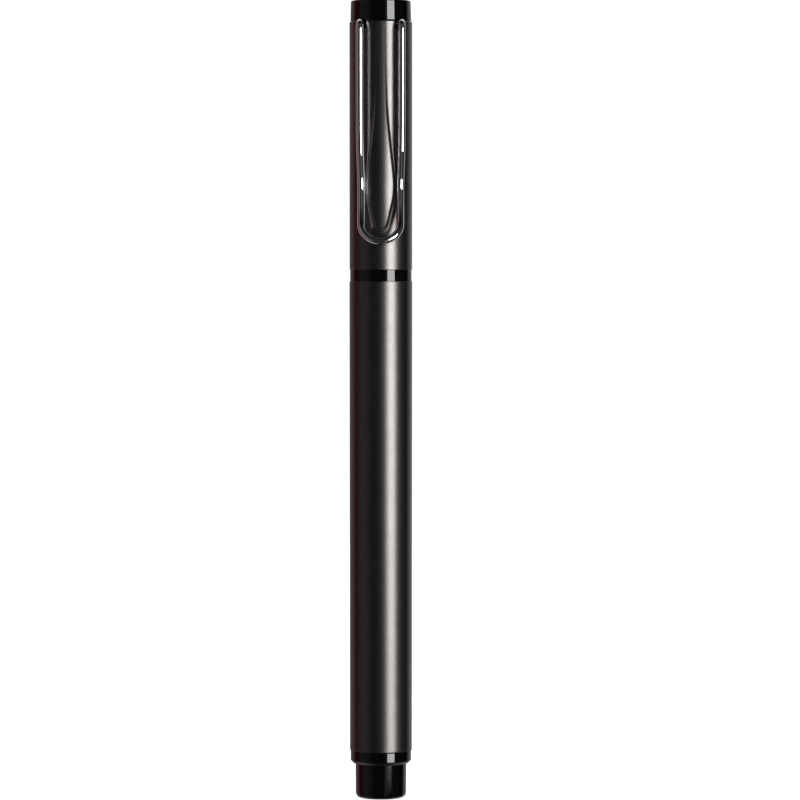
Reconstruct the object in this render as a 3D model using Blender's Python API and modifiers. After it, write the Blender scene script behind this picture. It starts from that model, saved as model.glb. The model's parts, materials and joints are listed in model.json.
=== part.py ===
# Capped rollerball pen: cap with a bent wire clip, barrel, screw-in section and a sprung refill.
# Blender 4.5, metres, +Z runs along the pen from the tail to the top of the cap.
# The origin is the centre of the flat end face of the tail plug. The clip is on the -Y side.
# Profiles are lists of (radius, height) in mm, heights along the pen.
import math

import bmesh
import bpy

MM = 0.001
OUTER_STEPS = 40
INNER_STEPS = 28
FINE_STEPS = 20
MERGE = 0.000001
SHARP_ANGLE = math.radians(35.0)

# Heights of the outer pieces, in mm
LENGTH = 138.0
STUB_TOP = 6.0
FLANGE_TOP = 8.15
BARREL_BOTTOM = 8.2
BARREL_TOP = 89.6
RING_BOTTOM = 89.65
RING_TOP = 91.55
CAP_BOTTOM = 91.6
CAP_TOP = 134.4
PLUG_BOTTOM = 134.45

# Outer radii, in mm
STUB_R_BOTTOM = 4.39
STUB_R_TOP = 4.44
STUB_FILLET = 0.8
FLANGE_R = 5.28
FLANGE_CHAMFER = 0.45
BARREL_R_BOTTOM = 5.39
BARREL_R_TOP = 5.44
RING_R = 5.35
CAP_R = 5.42
PLUG_R_BOTTOM = 5.28
PLUG_R_TOP = 5.19
PLUG_FILLET = 0.26
EDGE = 0.12

# Bores and fits, in mm
BARREL_BORE = 4.60
CAP_BORE = 4.90
CAP_MOUTH = 4.80
CAP_GROOVE = 4.98
BUSH_BORE = 4.00
SECTION_BORE = 3.20
FIT = 0.05
SLACK = 0.08

# Threaded joint between barrel and section, in mm
BUSH_BOTTOM = 77.0
BUSH_TOP = 88.6
SEAL_BOTTOM = 88.65
SEAL_TOP = 89.5
SPIGOT_R = 3.93
SPIGOT_BOTTOM = 78.2

# Section and nose cone, in mm
SECTION_TOP = 116.0
NOSE_SEAT = 112.05
NOSE_SHOULDER = 116.05
NOSE_TOP = 124.0
NOSE_BORE = 1.50
NOSE_INNER = 2.05

# Refill, in mm
REFILL_R = 3.0
REFILL_TUBE_BORE = 2.4
REFILL_BOTTOM = 17.05
REFILL_TUBE_BOTTOM = 18.2
REFILL_TUBE_TOP = 107.9
REFILL_SHOULDER = 112.0
HOLDER_BOTTOM = 104.0
HOLDER_COLLAR = 108.0
HOLDER_TOP = 121.9
HOLDER_TIP_R = 1.30
FEED_BORE = 0.5
FOLLOWER_BOTTOM = 41.0
INK_BOTTOM = 45.0
POINT_BOTTOM = 116.1
POINT_R = 1.15
TIP_TOP = 127.5
BALL_R = 0.35
BALL_GAP = 0.03

# Spring behind the refill, in mm
SPRING_BOTTOM = 9.1
SPRING_TURNS = 5.5
SPRING_WIRE_R = 0.25
SPRING_COIL_R = 2.45
SPRING_CLOSED_TURNS = 0.9
SPRING_CLOSED_PITCH = 0.56
SPRING_POINTS_PER_TURN = 16

# Pieces inside the cap, in mm
SNAP_BOTTOM = 93.6
SNAP_TOP = 95.1
SNAP_INNER = 4.58
SNAP_GAP = 0.9
LINER_BOTTOM = 108.0
LINER_TOP = 131.4
LINER_ROOF = 128.4
LINER_MOUTH = 4.12
LINER_CHAMBER = 2.90
NECK_R = 2.20
NECK_BOTTOM = 130.0
NECK_HOLE = 2.26
PAD_BOTTOM = 127.6
PAD_TOP = 128.35
PAD_R = 2.75
RETAINER_BOTTOM = 131.45
RETAINER_TOP = 132.65
RETAINER_BORE = 2.30

# Clip wire, in mm
WIRE_R = 0.65
CLIP_HINGE_Y = -4.20
CLIP_HINGE_Z = 133.50
CLIP_HALF_TOP = 3.615
CLIP_HALF_END = 3.36
CLIP_END_Z = 96.5
CLIP_FLARE = 0.45
CLIP_END_TILT_DEG = 30.0

# One side of the clip from its inner end, over the rim and down to its flared end: x, y, z
CLIP_SIDE = (
    (2.50, -2.80, CLIP_HINGE_Z),
    (3.04, -3.90, CLIP_HINGE_Z),
    (3.37, -4.60, 133.86),
    (3.45, -5.02, 134.00),
    (3.52, -5.40, 133.92),
    (3.57, -5.70, 133.66),
    (3.60, -5.92, 133.22),
    (3.61, -6.06, 132.60),
    (CLIP_HALF_TOP, -6.12, 131.60),
    (CLIP_HALF_TOP, -6.13, 126.00),
    (3.60, -6.13, 118.00),
    (3.58, -6.08, 116.00),
    (3.56, -5.98, 114.80),
    (3.41, -5.28, 108.60),
    (3.38, -5.16, 107.40),
    (CLIP_HALF_END, -5.13, 106.30),
    (CLIP_HALF_END, -5.17, 105.40),
    (CLIP_HALF_END, -5.37, 104.20),
    (CLIP_HALF_END, -6.02, 102.00),
)

# Notch in the rim of the cap for each end of the clip, in mm
NOTCH_CENTRE = (3.12, -4.25)
NOTCH_SIZE = (1.60, 2.4, 2.0)
NOTCH_TURN_DEG = 22.4
NOTCH_ROOM = 0.15

# Leaf-shaped recess in the front of the cap: half width and height of its outline
LEAF = (
    (0.60, 98.6),
    (1.20, 99.5),
    (1.85, 101.9),
    (2.25, 103.6),
    (2.50, 105.4),
    (2.50, 106.6),
    (2.18, 109.7),
    (1.65, 114.9),
    (1.32, 121.0),
    (1.27, 133.2),
    (0.90, 133.7),
)
LEAF_DEPTH = 0.20
LEAF_CUT_FRONT = 7.0
LEAF_CUT_BACK = 3.0


# ---- Scene, materials and tools ----


def clear_startup_objects():
    for old in list(bpy.data.objects):
        bpy.data.objects.remove(old, do_unlink=True)


def collection(name):
    made = bpy.data.collections.new(name)
    bpy.context.scene.collection.children.link(made)
    return made


def material(name, colour, metallic, roughness, transmission=0.0):
    made = bpy.data.materials.new(name)
    made.use_nodes = True
    shader = made.node_tree.nodes["Principled BSDF"]
    shader.inputs["Base Color"].default_value = (*colour, 1.0)
    shader.inputs["Metallic"].default_value = metallic
    shader.inputs["Roughness"].default_value = roughness
    shader.inputs["Transmission Weight"].default_value = transmission
    made.diffuse_color = (*colour, 1.0)
    return made


clear_startup_objects()
PEN = collection("rollerball_pen")
CUTTERS = collection("cutters")

GUNMETAL = material("gunmetal", (0.10, 0.097, 0.093), 1.0, 0.30)
GLOSS_BLACK = material("gloss_black", (0.012, 0.012, 0.013), 0.0, 0.06)
CHROME = material("chrome", (0.80, 0.80, 0.81), 1.0, 0.06)
BRASS = material("brass", (0.72, 0.52, 0.26), 1.0, 0.28)
NICKEL = material("nickel", (0.62, 0.60, 0.56), 1.0, 0.20)
SPRING_STEEL = material("spring_steel", (0.42, 0.43, 0.45), 1.0, 0.30)
CARBIDE = material("carbide", (0.30, 0.30, 0.31), 1.0, 0.15)
SOFT_RUBBER = material("soft_rubber", (0.05, 0.05, 0.05), 0.0, 0.75)
SECTION_BLACK = material("section_black", (0.018, 0.018, 0.019), 0.0, 0.28)
LINER_WHITE = material("liner_white", (0.72, 0.72, 0.70), 0.0, 0.45)
CLEAR_TUBE = material("clear_tube", (0.82, 0.86, 0.88), 0.0, 0.12, 0.8)
HOLDER_BLACK = material("holder_black", (0.03, 0.03, 0.032), 0.0, 0.40)
INK = material("ink", (0.004, 0.004, 0.008), 0.0, 0.10)
FOLLOWER = material("follower", (0.80, 0.74, 0.55), 0.0, 0.15, 0.6)


def finish(obj, look):
    obj.data.materials.append(look)
    PEN.objects.link(obj)
    return obj


def cutter(obj):
    obj.display_type = "WIRE"
    obj.hide_render = True
    CUTTERS.objects.link(obj)
    return obj


def cut(target, tool):
    boolean = target.modifiers.new("Cut", "BOOLEAN")
    boolean.operation = "DIFFERENCE"
    boolean.solver = "EXACT"
    boolean.object = tool


def evaluated_mesh(obj):
    bpy.context.view_layer.update()
    graph = bpy.context.evaluated_depsgraph_get()
    return bpy.data.meshes.new_from_object(obj.evaluated_get(graph))


def profile_object(name, datum, profile, steps, ring):
    """A profile at +X, turned round the pen's axis by a Screw modifier."""
    mesh = bpy.data.meshes.new(name)
    points = [(r * MM, 0.0, (z - datum) * MM) for r, z in profile]
    edges = [(i, i + 1) for i in range(len(points) - 1)]
    if ring:
        edges.append((len(points) - 1, 0))
    mesh.from_pydata(points, edges, [])
    obj = bpy.data.objects.new(name, mesh)
    obj.location = (0.0, 0.0, datum * MM)
    turn = obj.modifiers.new("Turn", "SCREW")
    turn.axis = "Z"
    turn.angle = math.tau
    turn.steps = steps
    turn.render_steps = steps
    turn.use_merge_vertices = True
    turn.merge_threshold = MERGE
    return obj


def turned(name, datum, profile, steps, look, ring=False):
    """A turned piece with its origin on the axis at the datum height."""
    return finish(profile_object(name, datum, profile, steps, ring), look)


def fillet(centre_r, centre_z, radius, start, end, count):
    """Points round an edge, from one angle to another, in degrees."""
    made = []
    for i in range(count + 1):
        a = math.radians(start + (end - start) * i / count)
        made.append((centre_r + radius * math.cos(a), centre_z + radius * math.sin(a)))
    return made


def box_cutter(name, centre, size, turn_z=0.0):
    work = bmesh.new()
    bmesh.ops.create_cube(work, size=1.0)
    bmesh.ops.scale(work, verts=work.verts, vec=[s * MM for s in size])
    mesh = bpy.data.meshes.new(name)
    work.to_mesh(mesh)
    work.free()
    obj = bpy.data.objects.new(name, mesh)
    obj.location = [c * MM for c in centre]
    obj.rotation_euler = (0.0, 0.0, turn_z)
    return cutter(obj)


def meshed(path_object, name, weld):
    """A mesh object in a curve's place, with the curve's caps welded on."""
    mesh = evaluated_mesh(path_object)
    mesh.name = name
    work = bmesh.new()
    work.from_mesh(mesh)
    bmesh.ops.remove_doubles(work, verts=work.verts, dist=weld)
    work.to_mesh(mesh)
    work.free()
    obj = bpy.data.objects.new(name, mesh)
    obj.matrix_world = path_object.matrix_world
    bpy.data.objects.remove(path_object, do_unlink=True)
    return obj


def curve_object(name, points, dimensions, cyclic):
    """A curve through a list of points, in mm."""
    curve = bpy.data.curves.new(name + "_path", "CURVE")
    curve.dimensions = dimensions
    spline = curve.splines.new("POLY")
    spline.points.add(len(points) - 1)
    for slot, point in zip(spline.points, points):
        slot.co = (point[0] * MM, point[1] * MM, point[2] * MM, 1.0)
    spline.use_cyclic_u = cyclic
    path_object = bpy.data.objects.new(name + "_path", curve)
    CUTTERS.objects.link(path_object)
    return path_object


def wire(name, points, radius, origin, look):
    """A round wire with closed ends along a list of points, in mm, its origin at a given point."""
    local = [[p[k] - origin[k] for k in range(3)] for p in points]
    path_object = curve_object(name, local, "3D", False)
    path_object.location = [c * MM for c in origin]
    path_object.data.bevel_depth = radius * MM
    path_object.data.bevel_resolution = 2
    path_object.data.use_fill_caps = True
    path_object.data.twist_mode = "MINIMUM"
    return finish(meshed(path_object, name, MERGE), look)


# ---- Barrel: tube, threaded bush in its mouth, tail plug, spring ----

turned(
    "barrel_tube",
    BARREL_BOTTOM,
    [
        (BARREL_BORE + EDGE, BARREL_TOP),
        (BARREL_R_TOP - EDGE, BARREL_TOP),
        (BARREL_R_TOP, BARREL_TOP - EDGE),
        (BARREL_R_BOTTOM, BARREL_BOTTOM + EDGE),
        (BARREL_R_BOTTOM - EDGE, BARREL_BOTTOM),
        (BARREL_BORE + EDGE, BARREL_BOTTOM),
        (BARREL_BORE, BARREL_BOTTOM + EDGE),
        (BARREL_BORE, BARREL_TOP - EDGE),
    ],
    OUTER_STEPS,
    GUNMETAL,
    ring=True,
)

turned(
    "barrel_thread_bush",
    BUSH_BOTTOM,
    [
        (BUSH_BORE + 0.2, BUSH_TOP),
        (BARREL_BORE - FIT, BUSH_TOP),
        (BARREL_BORE - FIT, BUSH_BOTTOM + 0.2),
        (BARREL_BORE - FIT - 0.2, BUSH_BOTTOM),
        (BUSH_BORE, BUSH_BOTTOM),
        (BUSH_BORE, BUSH_TOP - 0.2),
    ],
    OUTER_STEPS,
    BRASS,
    ring=True,
)


def tail_plug():
    """Plug with a spring pocket, a flange under the barrel and a plain stub below it."""
    pocket_r = 3.2
    pocket_floor = 9.0
    spigot_top = 14.6
    lead_in = 0.2
    turned(
        "tail_plug",
        0.0,
        [
            (0.0, pocket_floor),
            (pocket_r, pocket_floor),
            (pocket_r, spigot_top - lead_in),
            (pocket_r + lead_in, spigot_top),
            (BARREL_BORE - FIT - lead_in, spigot_top),
            (BARREL_BORE - FIT, spigot_top - lead_in),
            (BARREL_BORE - FIT, FLANGE_TOP),
            (FLANGE_R, FLANGE_TOP),
            (FLANGE_R, STUB_TOP + FLANGE_CHAMFER),
            (FLANGE_R - FLANGE_CHAMFER, STUB_TOP),
            (STUB_R_TOP, STUB_TOP),
        ]
        + fillet(STUB_R_BOTTOM - STUB_FILLET, STUB_FILLET, STUB_FILLET, 0.0, -90.0, 5)
        + [(0.0, 0.0)],
        OUTER_STEPS,
        GLOSS_BLACK,
    )


tail_plug()


def coil_points():
    """Centre line of the spring: nearly flat end turns, and even turns between them."""
    low = SPRING_BOTTOM + SPRING_WIRE_R
    high = REFILL_BOTTOM - FIT - SPRING_WIRE_R
    end_rise = SPRING_CLOSED_PITCH
    open_turns = SPRING_TURNS - 2.0 * SPRING_CLOSED_TURNS
    open_rise = high - low - 2.0 * end_rise
    count = int(SPRING_TURNS * SPRING_POINTS_PER_TURN)
    made = []
    for i in range(count + 1):
        turn = SPRING_TURNS * i / count
        first = min(turn, SPRING_CLOSED_TURNS) / SPRING_CLOSED_TURNS
        middle = min(max(turn - SPRING_CLOSED_TURNS, 0.0), open_turns) / open_turns
        last = max(turn - SPRING_CLOSED_TURNS - open_turns, 0.0) / SPRING_CLOSED_TURNS
        z = low + end_rise * (first + last) + open_rise * middle
        a = turn * math.tau
        made.append((SPRING_COIL_R * math.cos(a), SPRING_COIL_R * math.sin(a), z))
    return made


wire("refill_spring", coil_points(), SPRING_WIRE_R, (0.0, 0.0, SPRING_BOTTOM), SPRING_STEEL)


# ---- Section: washer, ring, grip and nose cone ----

turned(
    "section_seal",
    SEAL_BOTTOM,
    [
        (BUSH_BORE + 0.1, SEAL_TOP),
        (BARREL_BORE - 0.15, SEAL_TOP),
        (BARREL_BORE - SLACK, SEAL_TOP - 0.1),
        (BARREL_BORE - SLACK, SEAL_BOTTOM + 0.1),
        (BARREL_BORE - 0.15, SEAL_BOTTOM),
        (BUSH_BORE + 0.1, SEAL_BOTTOM),
        (BUSH_BORE, SEAL_BOTTOM + 0.1),
        (BUSH_BORE, SEAL_TOP - 0.1),
    ],
    INNER_STEPS,
    SOFT_RUBBER,
    ring=True,
)

turned(
    "section_ring",
    RING_BOTTOM,
    [
        (BUSH_BORE, RING_TOP),
        (RING_R - EDGE, RING_TOP),
        (RING_R, RING_TOP - EDGE),
        (RING_R, RING_BOTTOM + EDGE),
        (RING_R - EDGE, RING_BOTTOM),
        (BUSH_BORE, RING_BOTTOM),
    ],
    OUTER_STEPS,
    GLOSS_BLACK,
    ring=True,
)

turned(
    "grip_section",
    RING_TOP,
    [
        (SECTION_BORE + 0.1, SECTION_TOP),
        (3.70, SECTION_TOP),
        (3.86, 115.75),
        (3.90, 114.8),
        (3.76, 112.6),
        (3.80, 109.6),
        (4.02, 106.0),
        (4.30, 101.0),
        (4.44, 97.2),
        (4.46, 95.2),
        (4.54, 94.7),
        (4.54, 94.0),
        (4.46, 93.5),
        (4.46, 91.9),
        (4.36, 91.6),
        (SPIGOT_R, 91.6),
        (SPIGOT_R, SPIGOT_BOTTOM + 0.3),
        (SPIGOT_R - 0.25, SPIGOT_BOTTOM),
        (SECTION_BORE + 0.1, SPIGOT_BOTTOM),
        (SECTION_BORE, SPIGOT_BOTTOM + 0.1),
        (SECTION_BORE, SECTION_TOP - 0.1),
    ],
    OUTER_STEPS,
    SECTION_BLACK,
    ring=True,
)

turned(
    "nose_cone",
    NOSE_SEAT,
    [
        (NOSE_BORE, NOSE_TOP),
        (1.72, NOSE_TOP),
        (1.82, NOSE_TOP - 0.15),
        (2.72, 120.2),
        (3.50, 117.2),
        (3.66, 116.25),
        (3.60, NOSE_SHOULDER),
        (SECTION_BORE - 0.06, NOSE_SHOULDER),
        (SECTION_BORE - 0.06, NOSE_SEAT + 0.15),
        (SECTION_BORE - 0.20, NOSE_SEAT),
        (NOSE_INNER, NOSE_SEAT),
        (NOSE_INNER, 118.6),
        (NOSE_BORE, 119.4),
    ],
    INNER_STEPS,
    NICKEL,
    ring=True,
)


# ---- Refill: tube, end plug, ink, holder, point and ball ----

turned(
    "refill_tube",
    REFILL_BOTTOM,
    [
        (REFILL_TUBE_BORE, REFILL_TUBE_TOP),
        (REFILL_R, REFILL_TUBE_TOP),
        (REFILL_R, REFILL_TUBE_BOTTOM),
        (REFILL_TUBE_BORE, REFILL_TUBE_BOTTOM),
    ],
    INNER_STEPS,
    CLEAR_TUBE,
    ring=True,
)

turned(
    "refill_end_plug",
    REFILL_BOTTOM,
    [
        (FEED_BORE, 21.0),
        (2.1, 21.0),
        (REFILL_TUBE_BORE - FIT, 20.6),
        (REFILL_TUBE_BORE - FIT, REFILL_TUBE_BOTTOM - FIT),
        (REFILL_R - FIT, REFILL_TUBE_BOTTOM - FIT),
        (REFILL_R - FIT, REFILL_BOTTOM + 0.2),
        (REFILL_R - 0.25, REFILL_BOTTOM),
        (FEED_BORE, REFILL_BOTTOM),
    ],
    INNER_STEPS,
    LINER_WHITE,
    ring=True,
)

turned(
    "ink_follower",
    FOLLOWER_BOTTOM,
    [
        (0.0, INK_BOTTOM - 0.1),
        (REFILL_TUBE_BORE - FIT, INK_BOTTOM - 0.1),
        (REFILL_TUBE_BORE - FIT, FOLLOWER_BOTTOM + 0.6),
        (1.6, FOLLOWER_BOTTOM + 0.1),
        (0.0, FOLLOWER_BOTTOM),
    ],
    FINE_STEPS,
    FOLLOWER,
)

turned(
    "ink_column",
    INK_BOTTOM,
    [
        (0.0, HOLDER_BOTTOM - 0.1),
        (REFILL_TUBE_BORE - FIT, HOLDER_BOTTOM - 0.1),
        (REFILL_TUBE_BORE - FIT, INK_BOTTOM),
        (0.0, INK_BOTTOM),
    ],
    FINE_STEPS,
    INK,
)

turned(
    "tip_holder",
    HOLDER_COLLAR,
    [
        (1.0, HOLDER_TOP),
        (HOLDER_TIP_R - 0.08, HOLDER_TOP),
        (HOLDER_TIP_R, HOLDER_TOP - 0.2),
        (HOLDER_TIP_R, 118.0),
        (1.75, 117.4),
        (1.85, REFILL_SHOULDER),
        (REFILL_R - 0.15, REFILL_SHOULDER),
        (REFILL_R, REFILL_SHOULDER - 0.15),
        (REFILL_R, HOLDER_COLLAR),
        (REFILL_TUBE_BORE - FIT, HOLDER_COLLAR),
        (REFILL_TUBE_BORE - FIT, HOLDER_BOTTOM + 0.2),
        (2.2, HOLDER_BOTTOM),
        (FEED_BORE, HOLDER_BOTTOM),
        (FEED_BORE, POINT_BOTTOM - 0.2),
        (1.0, POINT_BOTTOM - 0.1),
    ],
    INNER_STEPS,
    HOLDER_BLACK,
    ring=True,
)

BALL_Z = TIP_TOP - BALL_R

turned(
    "writing_point",
    POINT_BOTTOM,
    [(0.2, BALL_Z - 0.40)]
    + fillet(0.0, BALL_Z, BALL_R + BALL_GAP, -52.0, 14.0, 5)
    + [
        (0.42, BALL_Z + 0.06),
        (0.60, 126.2),
        (1.08, 122.9),
        (POINT_R, 122.3),
        (POINT_R, HOLDER_TOP + FIT),
        (0.95, HOLDER_TOP + FIT),
        (0.95, POINT_BOTTOM + 0.2),
        (0.85, POINT_BOTTOM),
        (0.2, POINT_BOTTOM),
    ],
    FINE_STEPS,
    NICKEL,
    ring=True,
)

turned(
    "writing_ball",
    BALL_Z,
    [(0.0, BALL_Z + BALL_R)] + fillet(0.0, BALL_Z, BALL_R, 70.0, -70.0, 7) + [(0.0, BALL_Z - BALL_R)],
    FINE_STEPS,
    CARBIDE,
)


# ---- Cap: shell with its recess and notches ----


def leaf_cutter():
    """The leaf outline run through the front wall of the cap, less the round floor that stays."""
    outline = [(half, z, 0.0) for half, z in LEAF]
    outline += [(-half, z, 0.0) for half, z in reversed(LEAF)]
    path_object = curve_object("leaf", outline, "2D", True)
    path_object.data.fill_mode = "BOTH"
    path_object.data.extrude = (LEAF_CUT_FRONT - LEAF_CUT_BACK) * MM / 2.0
    path_object.location = (0.0, -(LEAF_CUT_FRONT + LEAF_CUT_BACK) * MM / 2.0, 0.0)
    path_object.rotation_euler = (math.pi / 2.0, 0.0, 0.0)
    tool = cutter(meshed(path_object, "leaf_cutter", MERGE))
    floor_r = CAP_R - LEAF_DEPTH
    low = CAP_BOTTOM
    high = LENGTH
    floor = [(0.0, high), (floor_r, high), (floor_r, low), (0.0, low)]
    cut(tool, cutter(profile_object("leaf_floor", low, floor, OUTER_STEPS, False)))
    return tool


def cap_shell():
    shell = turned(
        "cap_shell",
        CAP_BOTTOM,
        [
            (CAP_BORE, CAP_TOP),
            (CAP_R - EDGE, CAP_TOP),
            (CAP_R, CAP_TOP - EDGE),
            (CAP_R, CAP_BOTTOM + EDGE),
            (CAP_R - EDGE, CAP_BOTTOM),
            (CAP_MOUTH + 0.2, CAP_BOTTOM),
            (CAP_MOUTH, CAP_BOTTOM + 0.2),
            (CAP_MOUTH, SNAP_BOTTOM - 0.15),
            (CAP_GROOVE, SNAP_BOTTOM - 0.1),
            (CAP_GROOVE, SNAP_TOP + 0.2),
            (CAP_BORE, SNAP_TOP + 0.3),
        ],
        OUTER_STEPS,
        GUNMETAL,
        ring=True,
    )
    cut(shell, leaf_cutter())
    bottom = CLIP_HINGE_Z - WIRE_R - NOTCH_ROOM
    for side in (-1.0, 1.0):
        centre = (side * NOTCH_CENTRE[0], NOTCH_CENTRE[1], bottom + NOTCH_SIZE[2] / 2.0)
        turn = side * math.radians(NOTCH_TURN_DEG)
        cut(shell, box_cutter("notch_cutter", centre, NOTCH_SIZE, turn))


cap_shell()


# ---- Inside the cap: snap ring, liner, pad, retainer, and the top plug ----


def cap_snap_ring():
    ring = turned(
        "cap_snap_ring",
        SNAP_BOTTOM,
        [
            (SNAP_INNER + 0.06, SNAP_TOP),
            (CAP_BORE - 0.02, SNAP_TOP),
            (CAP_BORE + 0.02, SNAP_TOP - 0.1),
            (CAP_BORE + 0.02, SNAP_BOTTOM + 0.1),
            (CAP_BORE - 0.02, SNAP_BOTTOM),
            (SNAP_INNER + 0.06, SNAP_BOTTOM),
            (SNAP_INNER, SNAP_BOTTOM + 0.2),
            (SNAP_INNER, SNAP_TOP - 0.2),
        ],
        OUTER_STEPS,
        SPRING_STEEL,
        ring=True,
    )
    middle = (0.0, CAP_BORE - 0.2, (SNAP_BOTTOM + SNAP_TOP) / 2.0)
    cut(ring, box_cutter("ring_gap_cutter", middle, (SNAP_GAP, 1.6, 3.0)))


cap_snap_ring()

turned(
    "inner_cap",
    LINER_BOTTOM,
    [
        (0.0, NECK_BOTTOM - 0.1),
        (NECK_HOLE, NECK_BOTTOM - 0.1),
        (NECK_HOLE, LINER_TOP - 0.2),
        (NECK_HOLE + 0.14, LINER_TOP),
        (4.60, LINER_TOP),
        (CAP_BORE - SLACK, LINER_TOP - 0.3),
        (CAP_BORE - SLACK, LINER_BOTTOM + 0.3),
        (4.70, LINER_BOTTOM),
        (LINER_MOUTH + 0.1, LINER_BOTTOM),
        (LINER_MOUTH, LINER_BOTTOM + 0.3),
        (LINER_MOUTH, 122.5),
        (LINER_CHAMBER, 126.6),
        (LINER_CHAMBER, LINER_ROOF),
        (0.0, LINER_ROOF),
    ],
    INNER_STEPS,
    LINER_WHITE,
)

turned(
    "tip_seal",
    PAD_BOTTOM,
    [
        (0.0, PAD_TOP),
        (PAD_R, PAD_TOP),
        (PAD_R, PAD_BOTTOM + 0.15),
        (PAD_R - 0.15, PAD_BOTTOM),
        (0.0, PAD_BOTTOM),
    ],
    FINE_STEPS,
    SOFT_RUBBER,
)

turned(
    "clip_retainer",
    RETAINER_BOTTOM,
    [
        (RETAINER_BORE, RETAINER_TOP),
        (4.70, RETAINER_TOP),
        (CAP_BORE - SLACK, RETAINER_TOP - 0.12),
        (CAP_BORE - SLACK, RETAINER_BOTTOM + 0.12),
        (4.70, RETAINER_BOTTOM),
        (RETAINER_BORE, RETAINER_BOTTOM),
    ],
    INNER_STEPS,
    BRASS,
    ring=True,
)

turned(
    "cap_top_plug",
    PLUG_BOTTOM,
    [(0.0, LENGTH)]
    + fillet(PLUG_R_TOP - PLUG_FILLET, LENGTH - PLUG_FILLET, PLUG_FILLET, 90.0, 0.0, 4)
    + [
        (PLUG_R_BOTTOM, PLUG_BOTTOM),
        (NECK_R, PLUG_BOTTOM),
        (NECK_R, NECK_BOTTOM + 0.2),
        (NECK_R - 0.2, NECK_BOTTOM),
        (0.0, NECK_BOTTOM),
    ],
    OUTER_STEPS,
    GLOSS_BLACK,
)


# ---- Clip ----


def clip_points():
    """Centre line of the clip wire: one side, the round end, and the other side."""
    tilt = math.radians(CLIP_END_TILT_DEG)
    depth = CLIP_HALF_END * math.cos(tilt)
    rise = CLIP_HALF_END * math.sin(tilt)
    _, leg_end_y, leg_end_z = CLIP_SIDE[-1]
    arc_top = CLIP_END_Z + depth
    arc_y = leg_end_y - (leg_end_z - arc_top) * CLIP_FLARE
    arc_parts = 16
    arc = []
    for i in range(arc_parts + 1):
        a = math.pi * i / arc_parts
        x = CLIP_HALF_END * math.cos(a)
        arc.append((x, arc_y - rise * math.sin(a), arc_top - depth * math.sin(a)))
    mirrored = [(-x, y, z) for x, y, z in reversed(CLIP_SIDE)]
    return [*CLIP_SIDE, *arc, *mirrored]


wire("clip_wire", clip_points(), WIRE_R, (0.0, CLIP_HINGE_Y, CLIP_HINGE_Z), CHROME)


# ---- Shading ----


def shade_round_pieces():
    """Each piece becomes a plain mesh, smooth but for its sharp edges."""
    made = [(obj, evaluated_mesh(obj)) for obj in PEN.objects]
    for obj, mesh in made:
        mesh.shade_smooth()
        mesh.set_sharp_from_angle(angle=SHARP_ANGLE)
        obj.modifiers.clear()
        obj.data = mesh
        mesh.name = obj.name


shade_round_pieces()
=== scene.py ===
import json
import math

import bmesh
import bpy
import numpy as np
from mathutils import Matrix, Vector


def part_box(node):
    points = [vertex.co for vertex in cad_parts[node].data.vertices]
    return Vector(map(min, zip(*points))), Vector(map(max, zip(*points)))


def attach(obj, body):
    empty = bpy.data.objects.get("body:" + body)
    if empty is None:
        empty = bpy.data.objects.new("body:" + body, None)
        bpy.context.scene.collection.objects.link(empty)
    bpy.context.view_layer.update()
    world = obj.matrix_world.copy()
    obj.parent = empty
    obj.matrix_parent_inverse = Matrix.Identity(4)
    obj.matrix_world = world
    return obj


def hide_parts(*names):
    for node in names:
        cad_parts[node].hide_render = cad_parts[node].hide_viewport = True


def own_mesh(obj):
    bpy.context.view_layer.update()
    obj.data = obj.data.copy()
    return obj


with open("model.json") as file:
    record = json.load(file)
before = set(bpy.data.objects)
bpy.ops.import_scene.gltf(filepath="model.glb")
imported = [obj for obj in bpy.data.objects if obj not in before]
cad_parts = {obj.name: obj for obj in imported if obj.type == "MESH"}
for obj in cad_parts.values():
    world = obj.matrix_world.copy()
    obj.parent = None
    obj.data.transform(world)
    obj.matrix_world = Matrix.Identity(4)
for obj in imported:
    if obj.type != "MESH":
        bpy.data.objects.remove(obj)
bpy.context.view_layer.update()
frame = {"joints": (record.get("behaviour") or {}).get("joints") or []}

MM = 0.001
LATHE_STEPS = 160  # sides of the large turned pieces
FINE_STEPS = 96  # sides of the small ones


# ---------------------------------------------------------------- materials


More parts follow.
